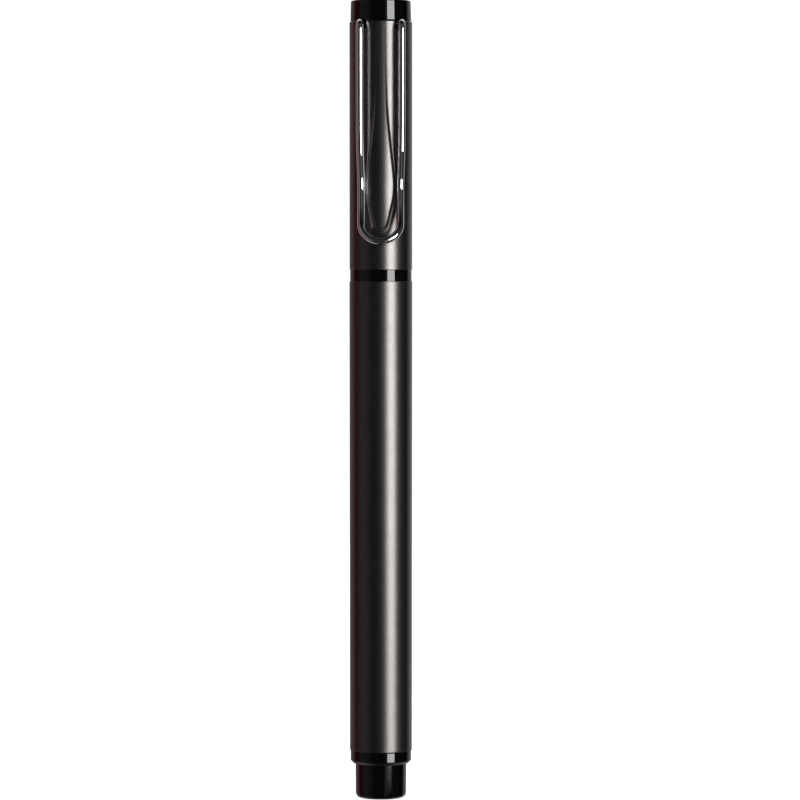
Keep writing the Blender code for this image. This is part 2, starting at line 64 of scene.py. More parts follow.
class Look:
    """A procedural material on one Principled shader, with all detail in object space."""

    def __init__(self, name):
        self.material = bpy.data.materials.new(name)
        self.material.use_nodes = True
        self.tree = self.material.node_tree
        self.shader = self.tree.nodes["Principled BSDF"]
        self.place = self.tree.nodes.new("ShaderNodeTexCoord").outputs["Object"]

    def set(self, **values):
        for socket, value in values.items():
            self.shader.inputs[socket.replace("_", " ")].default_value = value
        return self

    def link(self, source, target):
        self.tree.links.new(source, target)
        return source

    def mapped(self, stretch=(1.0, 1.0, 1.0)):
        node = self.tree.nodes.new("ShaderNodeMapping")
        node.inputs["Scale"].default_value = stretch
        self.link(self.place, node.inputs["Vector"])
        return node.outputs["Vector"]

    def noise(self, scale, detail=2.0, stretch=(1.0, 1.0, 1.0), rough=0.5):
        node = self.tree.nodes.new("ShaderNodeTexNoise")
        node.inputs["Scale"].default_value = scale
        node.inputs["Detail"].default_value = detail
        node.inputs["Roughness"].default_value = rough
        self.link(self.mapped(stretch), node.inputs["Vector"])
        return node.outputs["Fac"]

    def spots(self, scale, size):
        """Rare round specks: 1 inside a speck, 0 outside."""
        node = self.tree.nodes.new("ShaderNodeTexVoronoi")
        node.inputs["Scale"].default_value = scale
        self.link(self.mapped(), node.inputs["Vector"])
        return self.spread(node.outputs["Distance"], size, size * 0.4, 0.0, 1.0)

    def spread(self, value, low, high, new_low, new_high):
        node = self.tree.nodes.new("ShaderNodeMapRange")
        node.inputs["From Min"].default_value = low
        node.inputs["From Max"].default_value = high
        node.inputs["To Min"].default_value = new_low
        node.inputs["To Max"].default_value = new_high
        self.link(value, node.inputs["Value"])
        return node.outputs["Result"]

    def math(self, operation, a, b):
        node = self.tree.nodes.new("ShaderNodeMath")
        node.operation = operation
        self.link(a, node.inputs[0])
        if isinstance(b, (int, float)):
            node.inputs[1].default_value = b
        else:
            self.link(b, node.inputs[1])
        return node.outputs[0]

    def blend(self, factor, dark, light):
        node = self.tree.nodes.new("ShaderNodeMix")
        node.data_type = "RGBA"
        node.inputs["A"].default_value = (*dark, 1.0)
        node.inputs["B"].default_value = (*light, 1.0)
        self.link(factor, node.inputs["Factor"])
        return node.outputs["Result"]

    def colour(self, value):
        self.link(value, self.shader.inputs["Base Color"])
        return self

    def roughness(self, value):
        self.link(value, self.shader.inputs["Roughness"])
        return self

    def relief(self, *layers):
        """Bump layers, each (height, distance in mm), one over another."""
        normal = None
        for height, distance in layers:
            node = self.tree.nodes.new("ShaderNodeBump")
            node.inputs["Strength"].default_value = 1.0
            node.inputs["Distance"].default_value = distance * MM
            self.link(height, node.inputs["Height"])
            if normal is not None:
                self.link(normal, node.inputs["Normal"])
            normal = node.outputs["Normal"]
        self.link(normal, self.shader.inputs["Normal"])
        return self


def gunmetal():
    """Bead-blasted, dark plated metal: satin, with a fine even grain."""
    look = Look("gunmetal").set(Metallic=1.0)
    grain = look.noise(9000.0, 3.0, rough=0.6)
    cloud = look.noise(260.0, 3.0)
    fine_tone = look.spread(grain, 0.3, 0.7, 0.0, 0.55)
    wide_tone = look.spread(cloud, 0.3, 0.7, 0.0, 0.45)
    tone = look.math("ADD", fine_tone, wide_tone)
    look.colour(look.blend(tone, (0.116, 0.109, 0.1055), (0.138, 0.130, 0.127)))
    look.roughness(look.spread(look.noise(2400.0, 2.0), 0.25, 0.75, 0.29, 0.34))
    return look.relief((grain, 0.0075), (look.noise(3200.0, 2.0), 0.0045)).material


def gloss_black():
    """Polished black lacquer with a faint orange peel, rub haze and specks of dust."""
    look = Look("gloss_black").set(IOR=1.5, Metallic=0.0)
    cloud = look.noise(420.0, 3.0)
    tone = look.spread(cloud, 0.3, 0.7, 0.0, 1.0)
    look.colour(look.blend(tone, (0.0004, 0.0004, 0.0005), (0.0010, 0.0010, 0.0011)))
    haze = look.noise(900.0, 4.0, (1.0, 1.0, 0.25))
    specks = look.spots(1500.0, 0.10)
    rubbed = look.spread(haze, 0.35, 0.75, 0.035, 0.075)
    look.roughness(look.math("ADD", rubbed, look.math("MULTIPLY", specks, 0.25)))
    peel = look.noise(700.0, 1.0)
    return look.relief((peel, 0.0012), (haze, 0.0004)).material


def chrome():
    """Bright plated wire: mirror smooth, with drawing lines and faint smudges."""
    look = Look("chrome").set(Metallic=1.0)
    smudge = look.noise(600.0, 3.0)
    tone = look.spread(smudge, 0.3, 0.7, 0.0, 1.0)
    look.colour(look.blend(tone, (0.80, 0.79, 0.80), (0.90, 0.89, 0.89)))
    drawn = look.noise(5200.0, 2.0, (1.0, 1.0, 0.05))
    look.roughness(look.spread(smudge, 0.3, 0.8, 0.02, 0.055))
    return look.relief((drawn, 0.0003)).material


def turned_metal(name, dark, light, low, high):
    """Machined metal: fine turning lines round the axis, and slight tarnish."""
    look = Look(name).set(Metallic=1.0)
    stain = look.noise(500.0, 4.0)
    look.colour(look.blend(look.spread(stain, 0.3, 0.75, 0.0, 1.0), dark, light))
    lines = look.noise(900.0, 3.0, (0.02, 0.02, 3.5))
    look.roughness(look.spread(stain, 0.3, 0.7, low, high))
    return look.relief((lines, 0.004)).material


def moulded(name, dark, light, low, high, grain, depth, ior):
    """Moulded plastic or rubber with an even surface texture."""
    look = Look(name).set(IOR=ior, Metallic=0.0)
    cloud = look.noise(350.0, 3.0)
    look.colour(look.blend(look.spread(cloud, 0.3, 0.7, 0.0, 1.0), dark, light))
    skin = look.noise(grain, 3.0)
    look.roughness(look.spread(skin, 0.3, 0.7, low, high))
    return look.relief((skin, depth), (cloud, 0.004)).material


def clear(name, dark, light, low, high, weight):
    """See-through plastic or gel with flow streaks."""
    look = Look(name).set(IOR=1.47, Metallic=0.0)
    look.set(Transmission_Weight=weight)
    streak = look.noise(500.0, 3.0, (1.0, 1.0, 0.1))
    look.colour(look.blend(look.spread(streak, 0.3, 0.7, 0.0, 1.0), dark, light))
    look.roughness(look.spread(streak, 0.3, 0.7, low, high))
    return look.relief((streak, 0.002)).material


# Turned metals: darkest and lightest colour, lowest and highest roughness.
METALS = {
    "brass": ((0.55, 0.37, 0.16), (0.74, 0.54, 0.27), 0.22, 0.36),
    "nickel": ((0.50, 0.48, 0.45), (0.66, 0.64, 0.60), 0.14, 0.24),
    "spring_steel": ((0.34, 0.35, 0.37), (0.50, 0.51, 0.53), 0.22, 0.36),
    "carbide": ((0.26, 0.26, 0.27), (0.34, 0.34, 0.35), 0.10, 0.20),
}
# Moulded: the same four, then scale of the skin's texture, its depth in mm, and the IOR.
MOULDED = {
    "soft_rubber": (
        (0.020, 0.020, 0.021), (0.045, 0.045, 0.046), 0.62, 0.85, 3000.0, 0.012, 1.49,
    ),
    "section_black": (
        (0.010, 0.010, 0.011), (0.018, 0.018, 0.019), 0.20, 0.32, 4200.0, 0.003, 1.49,
    ),
    "liner_white": ((0.66, 0.65, 0.62), (0.76, 0.75, 0.73), 0.36, 0.50, 2600.0, 0.005, 1.49),
    "holder_black": (
        (0.020, 0.020, 0.022), (0.034, 0.034, 0.036), 0.32, 0.46, 3400.0, 0.005, 1.49,
    ),
    "ink": ((0.003, 0.003, 0.007), (0.006, 0.006, 0.012), 0.06, 0.12, 1200.0, 0.001, 1.36),
}
# Clear: the first four, then the transmission weight.
CLEAR = {
    "clear_tube": ((0.78, 0.82, 0.84), (0.88, 0.91, 0.93), 0.06, 0.16, 0.85),
    "follower": ((0.70, 0.62, 0.38), (0.84, 0.78, 0.58), 0.10, 0.20, 0.6),
}
LOOKS = {"gunmetal": gunmetal(), "gloss_black": gloss_black(), "chrome": chrome()}
LOOKS.update({name: turned_metal(name, *values) for name, values in METALS.items()})
LOOKS.update({name: moulded(name, *values) for name, values in MOULDED.items()})
LOOKS.update({name: clear(name, *values) for name, values in CLEAR.items()})


# ---------------------------------------------------------------- mesh tools


def span(node):
    """Bottom, top and outer radius of a CAD node, in mm."""
    low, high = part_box(node)
    return low.z / MM, high.z / MM, high.x / MM


def rounded(points, closed, step=12.0):
    """A profile of (radius, height, edge radius) points with its edges rounded."""
    made = []
    count = len(points)
    for i, point in enumerate(points):
        edge = point[2] if len(point) > 2 else 0.0
        here = np.array(point[:2], float)
        if edge <= 0.0 or (not closed and i in (0, count - 1)):
            made.append(here)
            continue
        back = np.array(points[i - 1][:2], float) - here
        ahead = np.array(points[(i + 1) % count][:2], float) - here
        room = min(np.linalg.norm(back), np.linalg.norm(ahead)) * 0.49
        back /= np.linalg.norm(back)
        ahead /= np.linalg.norm(ahead)
        inside = math.acos(max(-1.0, min(1.0, float(back @ ahead))))
        turn = math.pi - inside
        reach = min(edge * math.tan(turn / 2), room)
        edge = reach / math.tan(turn / 2)
        middle = back + ahead
        middle = here + middle / np.linalg.norm(middle) * edge / math.sin(inside / 2)
        start = here + back * reach - middle
        end = here + ahead * reach - middle
        parts = max(3, math.ceil(math.degrees(turn) / step))
        for j in range(parts + 1):
            q = j / parts
            bow = (math.sin((1 - q) * turn) * start + math.sin(q * turn) * end) / math.sin(turn)
            made.append(middle + bow)
    return made


def supported(points, closed, longest=4.0, guard=0.07):
    """The profile with holding points beside its corners and along its long runs."""
    made = []
    count = len(points)
    runs = count if closed else count - 1
    for i in range(runs):
        here = points[i]
        there = points[(i + 1) % count]
        made.append(here)
        length = float(np.linalg.norm(there - here))
        if length > 4 * guard:
            way = (there - here) / length
            made.append(here + way * guard)
            parts = math.ceil((length - 2 * guard) / longest)
            for j in range(1, parts):
                made.append(here + way * (guard + (length - 2 * guard) * j / parts))
            made.append(there - way * guard)
    if not closed:
        made.append(points[-1])
    return made


def piece(name, verts, faces, look, body, nodes, sharp=38.0):
    """One closed visual piece that stands for its CAD nodes. Vertices are in mm."""
    mesh = bpy.data.meshes.new("v_" + name)
    mesh.from_pydata([(x * MM, y * MM, z * MM) for x, y, z in verts], [], faces)
    work = bmesh.new()
    work.from_mesh(mesh)
    bmesh.ops.recalc_face_normals(work, faces=work.faces)
    work.to_mesh(mesh)
    work.free()
    mesh.materials.append(LOOKS[look])
    mesh.shade_smooth()
    mesh.set_sharp_from_angle(angle=math.radians(sharp))
    obj = bpy.data.objects.new("v_" + name, mesh)
    bpy.context.scene.collection.objects.link(obj)
    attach(obj, body)
    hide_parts(*nodes)
    return obj


def rings(rows, closed, wrap=True):
    """Vertices and faces through rows of points. A row of one point is a pole."""
    verts = []
    index = []
    for row in rows:
        index.append(list(range(len(verts), len(verts) + len(row))))
        verts.extend(row)
    faces = []
    count = len(rows)
    for i in range(count if closed else count - 1):
        a = index[i]
        b = index[(i + 1) % count]
        size = max(len(a), len(b))
        for j in range(size if wrap else size - 1):
            k = (j + 1) % size
            if len(a) == 1:
                faces.append((a[0], b[k], b[j]))
            elif len(b) == 1:
                faces.append((a[j], a[k], b[0]))
            else:
                faces.append((a[j], a[k], b[k], b[j]))
    if not wrap:
        faces.append([row[0] for row in index])
        faces.append([row[-1] for row in index][::-1])
    return verts, faces


def turned(
    name,
    body,
    look,
    profile,
    closed=True,
    steps=LATHE_STEPS,
    warp=None,
    arc=None,
    longest=4.0,
):
    """A turned piece. warp(angle, radius, height) gives a point's own radius."""
    points = supported(rounded(profile, closed), closed, longest)
    wrap = arc is None
    if wrap:
        angles = [math.tau * j / steps for j in range(steps)]
    else:
        angles = [arc[0] + (arc[1] - arc[0]) * j / steps for j in range(steps + 1)]
    rows = []
    for r, z in points:
        if r < 1e-6:
            rows.append([(0.0, 0.0, z)])
            continue
        row = []
        for a in angles:
            own = warp(a, r, z) if warp else r
            row.append((own * math.cos(a), own * math.sin(a), z))
        rows.append(row)
    verts, faces = rings(rows, closed, wrap)
    return piece(name, verts, faces, look, body, [name])


def smooth_path(points, spacing):
    """Points a fixed way apart on a smooth curve through the given points."""
    p = np.array(points, float)
    p = np.vstack([2 * p[0] - p[1], p, 2 * p[-1] - p[-2]])
    fine = []
    for i in range(1, len(p) - 2):
        knots = [0.0]
        for j in range(i - 1, i + 2):
            knots.append(knots[-1] + math.sqrt(float(np.linalg.norm(p[j + 1] - p[j]))))
        t0, t1, t2, t3 = knots
        for t in np.linspace(t1, t2, 24, endpoint=False):
            a1 = (t1 - t) / (t1 - t0) * p[i - 1] + (t - t0) / (t1 - t0) * p[i]
            a2 = (t2 - t) / (t2 - t1) * p[i] + (t - t1) / (t2 - t1) * p[i + 1]
            a3 = (t3 - t) / (t3 - t2) * p[i + 1] + (t - t2) / (t3 - t2) * p[i + 2]
            b1 = (t2 - t) / (t2 - t0) * a1 + (t - t0) / (t2 - t0) * a2
            b2 = (t3 - t) / (t3 - t1) * a2 + (t - t1) / (t3 - t1) * a3
            fine.append((t2 - t) / (t2 - t1) * b1 + (t - t1) / (t2 - t1) * b2)
    fine.append(p[-2])
    fine = np.array(fine)
    way = np.concatenate([[0.0], np.cumsum(np.linalg.norm(np.diff(fine, axis=0), axis=1))])
    count = max(4, int(round(way[-1] / spacing)))
    at = np.linspace(0.0, way[-1], count + 1)
    return np.column_stack([np.interp(at, way, fine[:, k]) for k in range(3)])


# The domed end of a wire: how far out and how wide, as shares of the wire's radius.
WIRE_DOME = [(0.30, 0.25), (0.25, 0.62), (0.13, 0.90)]
DOME_HEIGHT = 0.31


def swept(name, body, look, path, radius, sides):
    """A round wire along a path, with softly domed ends."""
    ways = np.gradient(path, axis=0)
    ways /= np.linalg.norm(ways, axis=1)[:, None]
    side = np.cross(ways[0], (0.0, 0.0, 1.0))
    if np.linalg.norm(side) < 0.1:
        side = np.cross(ways[0], (1.0, 0.0, 0.0))
    side /= np.linalg.norm(side)
    rows = []
    last = len(path) - 1
    for i, centre in enumerate(path):
        way = ways[i]
        side = side - way * float(side @ way)
        side /= np.linalg.norm(side)
        up = np.cross(way, side)

        def ring(shift, size):
            made = []
            for j in range(sides):
                a = math.tau * j / sides
                out = side * math.cos(a) + up * math.sin(a)
                made.append(tuple(centre + way * shift + out * size))
            return made

        if i == 0:
            rows.append([tuple(centre - way * radius * DOME_HEIGHT)])
            rows.extend(ring(-radius * s, radius * k) for s, k in WIRE_DOME)
        rows.append(ring(0.0, radius))
        if i == last:
            rows.extend(ring(radius * s, radius * k) for s, k in reversed(WIRE_DOME))
            rows.append([tuple(centre + way * radius * DOME_HEIGHT)])
    verts, faces = rings(rows, False)
    return piece(name, verts, faces, look, body, [name], 60.0)


def thread(low, high, pitch, depth, outside=True):
    """A warp that cuts a rounded screw thread between two heights."""
    sign = -1.0 if outside else 1.0

    def warp(a, r, z):
        run_in = max(0.0, min(1.0, (z - low) / pitch, (high - z) / pitch))
        turn = (z / pitch - a / math.tau) % 1.0
        groove = max(0.0, min(1.0, 1.6 - 2.2 * abs(2.0 * turn - 1.0)))
        groove = groove * groove * (3.0 - 2.0 * groove)
        return r + sign * depth * groove * run_in

    return warp


def between(warp, low, high, radius, near=0.02):
    """The warp only where the profile lies on that radius between two heights."""

    def limited(a, r, z):
        if low <= z <= high and abs(r - radius) < near:
            return warp(a, r, z)
        return r

    return limited


# ---------------------------------------------------------------- barrel

THREAD_PITCH = 0.8

z0, z1, r1 = span("barrel_tube")
BARREL_TAPER = 0.055
BARREL_BORE = 4.60
turned(
    "barrel_tube",
    "barrel",
    "gunmetal",
    [
        (BARREL_BORE, z1, 0.10),
        (r1, z1, 0.05),
        (r1 - BARREL_TAPER, z0, 0.13),
        (BARREL_BORE, z0, 0.08),
    ],
)

z0, z1, r1 = span("barrel_thread_bush")
BUSH_BORE = 4.0
turned(
    "barrel_thread_bush",
    "barrel",
    "brass",
    [
        (BUSH_BORE, z1, 0.15),
        (r1, z1, 0.05),
        (r1, z0, 0.2),
        (BUSH_BORE, z0, 0.05),
    ],
    warp=between(thread(z0 + 0.4, z1 - 0.9, THREAD_PITCH, 0.28, False), z0, z1, BUSH_BORE),
    steps=FINE_STEPS,
    longest=0.08,
)

z0, z1, flange_r = span("tail_plug")
STUB_TOP = 6.0
FLANGE_TOP = 8.15
STUB_R = 4.44
STUB_FOOT_R = 4.39
PLUG_SPIGOT_R = 4.55
turned(
    "tail_plug",
    "barrel",
    "gloss_black",
    [
        (0.0, z0 + 9.0),
        (3.2, z0 + 9.0, 0.15),
        (3.2, z1, 0.15),
        (PLUG_SPIGOT_R, z1, 0.2),
        (PLUG_SPIGOT_R, z0 + FLANGE_TOP, 0.03),
        (flange_r, z0 + FLANGE_TOP, 0.06),
        (flange_r, z0 + STUB_TOP + 0.50, 0.12),
        (flange_r - 0.45, z0 + STUB_TOP, 0.10),
        (STUB_R, z0 + STUB_TOP, 0.05),
        (STUB_FOOT_R, z0, 0.80),
        (0.0, z0),
    ],
    closed=False,
)

# ---------------------------------------------------------------- spring

z0, z1, _ = span("refill_spring")
SPRING_WIRE_R = 0.25
SPRING_TURNS = 5.5
SPRING_COIL_R = 2.45
CLOSED_TURNS = 0.9  # the closed turns at each end, and how far they rise
CLOSED_RISE = 0.56
COIL_POINTS = int(SPRING_TURNS * 32)
coil = []
coil_low = z0 + SPRING_WIRE_R
coil_high = z1 - SPRING_WIRE_R
end_share = CLOSED_TURNS / SPRING_TURNS
end_level = CLOSED_RISE / (coil_high - coil_low)
coil_shares = [0.0, end_share, 1.0 - end_share, 1.0]
coil_levels = [0.0, end_level, 1.0 - end_level, 1.0]
for i in range(COIL_POINTS + 1):
    share = i / COIL_POINTS
    level = np.interp(share, coil_shares, coil_levels)
    a = share * SPRING_TURNS * math.tau
    height = coil_low + (coil_high - coil_low) * level
    coil.append((SPRING_COIL_R * math.cos(a), SPRING_COIL_R * math.sin(a), height))
coil = smooth_path(coil, 0.16)
spring = swept("refill_spring", "barrel", "spring_steel", coil, SPRING_WIRE_R, 14)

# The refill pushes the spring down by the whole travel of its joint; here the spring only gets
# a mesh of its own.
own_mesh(spring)

# ---------------------------------------------------------------- section

z0, z1, r1 = span("section_seal")
turned(
    "section_seal",
    "thread_washer",
    "soft_rubber",
    [(BUSH_BORE, z1, 0.18), (r1, z1, 0.25), (r1, z0, 0.25), (BUSH_BORE, z0, 0.18)],
    steps=FINE_STEPS,
)

z0, z1, r1 = span("section_ring")
RING_LIP = 0.045
turned(
    "section_ring",
    "section",
    "gloss_black",
    [
        (BUSH_BORE, z1 + RING_LIP, 0.05),
        (r1, z1 + RING_LIP, 0.05),
        (r1, z0 - RING_LIP, 0.05),
        (BUSH_BORE, z0 - RING_LIP, 0.05),
    ],
)

z0, z1, r1 = span("grip_section")
SPIGOT_R = 3.93
SECTION_BORE = 3.20
turned(
    "grip_section",
    "section",
    "section_black",
    [
        (SECTION_BORE, z1, 0.1),
        (3.86, z1, 0.25),
        (3.90, z1 - 1.2, 0.8),
        (3.76, z1 - 3.4, 3.0),
        (3.80, z1 - 6.4, 3.0),
        (4.02, z1 - 10.0, 4.0),
        (4.30, z1 - 15.0, 6.0),
        (4.44, z1 - 18.8, 1.0),
        (4.46, z1 - 20.8, 0.15),
        (4.54, z1 - 21.3, 0.20),
        (4.54, z1 - 22.0, 0.20),
        (4.46, z1 - 22.5, 0.15),
        (4.46, z1 - 24.4, 0.12),
        (SPIGOT_R, z1 - 24.4, 0.05),
        (SPIGOT_R, z0, 0.25),
        (SECTION_BORE, z0, 0.1),
    ],
    warp=between(thread(z0 + 0.5, z0 + 9.6, THREAD_PITCH, 0.30), z0, z0 + 12.0, SPIGOT_R),
    steps=96,
    longest=0.14,
)

z0, z1, r1 = span("nose_cone")
NOSE_BORE = 1.50
turned(
    "nose_cone",
    "section",
    "nickel",
    [
        (NOSE_BORE, z1, 0.04),
        (1.82, z1, 0.12),
        (2.72, z1 - 3.8, 6.0),
        (3.50, z1 - 6.8, 0.8),
        (r1, z1 - 7.75, 0.06),
        (3.60, z1 - 7.95, 0.03),
        (SECTION_BORE - 0.06, z1 - 7.95, 0.03),
        (SECTION_BORE - 0.06, z0, 0.15),
        (2.05, z0, 0.05),
        (2.05, z1 - 5.4, 0.1),
        (NOSE_BORE, z1 - 4.6, 0.1),
    ],
    steps=128,
)

# ---------------------------------------------------------------- refill

z0, z1, r1 = span("refill_tube")
TUBE_BORE = 2.4
turned(
    "refill_tube",
    "refill",
    "clear_tube",
    [(TUBE_BORE, z1, 0.06), (r1, z1, 0.08), (r1, z0, 0.08), (TUBE_BORE, z0, 0.06)],
    steps=FINE_STEPS,
)

z0, z1, r1 = span("refill_end_plug")
turned(
    "refill_end_plug",
    "refill",
    "liner_white",
    [
        (0.5, z1, 0.08),
        (2.35, z1, 0.25),
        (2.35, z0 + 1.10, 0.05),
        (2.95, z0 + 1.10, 0.08),
        (2.95, z0, 0.25),
        (0.5, z0, 0.1),
    ],
    steps=FINE_STEPS,
)

z0, z1, r1 = span("ink_follower")
turned(
    "ink_follower",
    "refill",
    "follower",
    [(0.0, z1), (r1, z1, 0.05), (r1, z0 + 0.5, 0.3), (1.5, z0 + 0.08, 0.8), (0.0, z0)],
    closed=False,
    steps=FINE_STEPS,
)

z0, z1, r1 = span("ink_column")
turned(
    "ink_column",
    "refill",
    "ink",
    [(0.0, z1), (r1, z1, 0.15), (r1, z0, 0.1), (0.0, z0)],
    closed=False,
    steps=FINE_STEPS,
)

z0, z1, r1 = span("tip_holder")
turned(
    "tip_holder",
    "refill",
    "holder_black",
    [
        (1.0, z1, 0.04),
        (1.30, z1, 0.10),
        (1.30, z1 - 4.1, 0.2),
        (1.80, z1 - 4.6, 0.2),
        (1.85, z0 + 8.0, 0.1),
        (r1, z0 + 8.0, 0.15),
        (r1, z0 + 4.0, 0.08),
        (2.35, z0 + 4.0, 0.03),
        (2.35, z0, 0.15),
        (0.5, z0, 0.05),
        (0.5, z1 - 5.95, 0.1),
        (1.0, z1 - 5.95, 0.1),
    ],
    steps=FINE_STEPS,
)

ball_low, ball_top, ball_r = span("writing_ball")
ball_z = (ball_low + ball_top) / 2
z0, z1, r1 = span("writing_point")
socket_r = ball_r + 0.03
socket = []
for degrees in (-52, -44, -36, -28, -20, -12, -4, 5, 14):
    a = math.radians(degrees)
    socket.append((socket_r * math.cos(a), ball_z + socket_r * math.sin(a)))
turned(
    "writing_point",
    "refill",
    "nickel",
    [(0.2, ball_z - 0.40)]
    + socket
    + [
        (0.42, ball_z + 0.06),
        (0.60, z1 - 1.0, 0.3),
        (1.10, z0 + 6.6, 0.6),
        (r1, z0 + 5.85, 0.03),
        (0.95, z0 + 5.85, 0.02),
        (0.95, z0, 0.15),
        (0.2, z0, 0.05),
    ],
    steps=64,
)

ball_side = []
for degrees in range(80, -81, -8):
    a = math.radians(degrees)
    ball_side.append((ball_r * math.cos(a), ball_z + ball_r * math.sin(a)))
turned(
    "writing_ball",
    "ball",
    "carbide",
    [(0.0, ball_top)] + ball_side + [(0.0, ball_low)],
    closed=False,
    steps=48,
)

# ---------------------------------------------------------------- cap

cap_low, cap_top, cap_r = span("cap_shell")
CAP_BORE = 4.90

# The leaf in the front of the cap: height, half width of its edge, depth, width of its wall.
LEAF = (
    (98.4, 0.90, 0.050, 0.60),
    (98.8, 1.20, 0.080, 0.60),
    (99.5, 1.50, 0.100, 0.60),
    (100.5, 1.79, 0.130, 0.60),
    (101.9, 2.15, 0.175, 0.65),
    (103.6, 2.55, 0.230, 0.60),
    (105.4, 2.80, 0.290, 0.60),
    (106.6, 2.80, 0.290, 0.60),
    (108.0, 2.66, 0.250, 0.60),
    (109.7, 2.48, 0.210, 0.65),
    (112.3, 2.14, 0.175, 0.60),
    (114.9, 1.82, 0.140, 0.58),
    (117.5, 1.53, 0.108, 0.55),
    (121.0, 1.30, 0.055, 0.52),
    (128.0, 1.14, 0.024, 0.54),
    (138.0, 1.02, 0.016, 0.54),
)
LEAF_Z = [row[0] for row in LEAF]
LEAF_SIDE = 3.9  # arc length from the front within which the mesh is fine
FAR_FROM_LEAF = 9.0


def leaf_value(z, which):
    """A smooth curve through one column of the leaf's table."""
    values = [row[which] for row in LEAF]
    z = np.clip(z, LEAF_Z[0], LEAF_Z[-1])
    i = np.clip(np.searchsorted(LEAF_Z, z) - 1, 0, len(LEAF_Z) - 2)
    x = np.array(LEAF_Z)
    y = np.array(values)
    run = np.diff(x)
    slope = np.diff(y) / run
    tangent = np.concatenate([[slope[0]], np.zeros(len(slope) - 1), [slope[-1]]])
    for k in range(1, len(slope)):
        if slope[k - 1] * slope[k] > 0:
            tangent[k] = 2.0 / (1.0 / slope[k - 1] + 1.0 / slope[k])
    t = (z - x[i]) / run[i]
    h = run[i]
    return (
        (2 * t**3 - 3 * t**2 + 1) * y[i]
        + (t**3 - 2 * t**2 + t) * h * tangent[i]
        + (-2 * t**3 + 3 * t**2) * y[i + 1]
        + (t**3 - t**2) * h * tangent[i + 1]
    )


def leaf_columns(z):
    """Mesh columns round the cap at one height, as arc lengths from the front, in mm."""
    edge = max(0.95, float(leaf_value(np.array(z), 1)))
    wall = float(leaf_value(np.array(z), 3))
    foot = max(0.25, edge - wall - 0.06)
    half = np.concatenate(
        [
            np.linspace(0.0, foot, 10)[:-1],
            np.linspace(foot, edge + 0.05, 18)[:-1],
            np.linspace(edge + 0.05, LEAF_SIDE, 12),
        ]
    )
    full = math.tau * cap_r
    back = np.linspace(LEAF_SIDE, full - LEAF_SIDE, 92)[1:-1]
    return np.concatenate([half, back, full - half[:0:-1]])


outline_z = np.arange(LEAF_Z[0], LEAF_Z[-1], 0.05)
outline_x = leaf_value(outline_z, 1)
floor_x = np.linspace(0.0, outline_x[0], 12)
OUTLINE = np.vstack(
    [
        np.column_stack([floor_x, np.full(12, LEAF_Z[0])]),
        np.column_stack([outline_x, outline_z]),
    ]
)


def leaf_depth(x, z):
    """How far the cap's skin is pressed in at a place on its front."""
    x = np.abs(x)
    made = np.zeros_like(x)
    inside = (z > LEAF_Z[0]) & (x < leaf_value(z, 1))
    if not inside.any():
        return made
    px = x[inside]
    pz = z[inside]
    across = px[:, None] - OUTLINE[None, :, 0]
    along = pz[:, None] - OUTLINE[None, :, 1]
    away = np.sqrt((across**2) + (along**2)).min(axis=1)
    t = np.clip(away / leaf_value(pz, 3), 0.0, 1.0)
    made[inside] = leaf_value(pz, 2) * t * t * (3.0 - 2.0 * t)
    return made


def cap_shell():
    """The cap's tube as rows of points, closest where the leaf is pressed in."""
    outer_low = cap_low + 0.08
    outer_top = cap_top - 0.42
    full = math.tau * cap_r
    profile = rounded(
        [
            (cap_r, cap_low, 0.05),
            (cap_r, cap_top, 0.38),
            (CAP_BORE, cap_top, 0.05),
            (CAP_BORE, cap_low + 3.8, 0.05),
            (CAP_BORE + 0.08, cap_low + 3.7, 0.02),
            (CAP_BORE + 0.08, cap_low + 1.9, 0.02),
            (CAP_BORE - 0.1, cap_low + 1.85, 0.03),
            (CAP_BORE - 0.1, cap_low + 0.2, 0.1),
            (CAP_BORE + 0.1, cap_low, 0.05),
        ],
        True,
        10.0,
    )
    profile = supported(profile, True)
    skin = [i for i in range(len(profile)) if abs(profile[i][0] - cap_r) < 1e-6]
    heights = [profile[i][1] for i in skin]
    heights = [h for h in heights if h < outer_low + 0.2 or h > outer_top]
    heights += list(np.arange(outer_low + 0.4, 97.6, 0.7))
    heights += list(np.arange(98.0, 101.4, 0.07))
    heights += list(np.arange(101.4, outer_top - 0.05, 0.13))
    rows = [tuple(point) for point in profile[: skin[0]]]
    rows += [(cap_r, z) for z in sorted(heights)]
    rows += [tuple(point) for point in profile[skin[-1] + 1 :]]
    made = []
    for r, z in rows:
        arc = leaf_columns(z)
        angle = -math.pi / 2 + arc / cap_r
        x = np.where(arc > full - LEAF_SIDE - 1, arc - full, FAR_FROM_LEAF)
        x = np.where(arc < LEAF_SIDE + 1, arc, x)
        own = np.full_like(arc, r)
        if r > CAP_BORE + 0.2:
            own = own - leaf_depth(x, np.full_like(x, z))
        row = np.column_stack([own * np.cos(angle), own * np.sin(angle), np.full_like(arc, z)])
        made.append([tuple(v) for v in row])
    return rings(made, True)


verts, faces = cap_shell()
shell = piece("cap_shell", verts, faces, "gunmetal", "cap", ["cap_shell"], 50.0)


hinge = next(j for j in frame["joints"] if j["name"] == "clip_flex")
HINGE = [c / MM for c in hinge["pos_m"]]
WIRE_R = 0.65
NOTCH_SIZE = (1.60, 2.4, 4.0)
NOTCH_ROUND = 0.62
NOTCH_MIDDLE = (3.12, -4.25)
NOTCH_TURN = math.radians(22.4)
NOTCH_BOTTOM = HINGE[2] - WIRE_R - 0.15


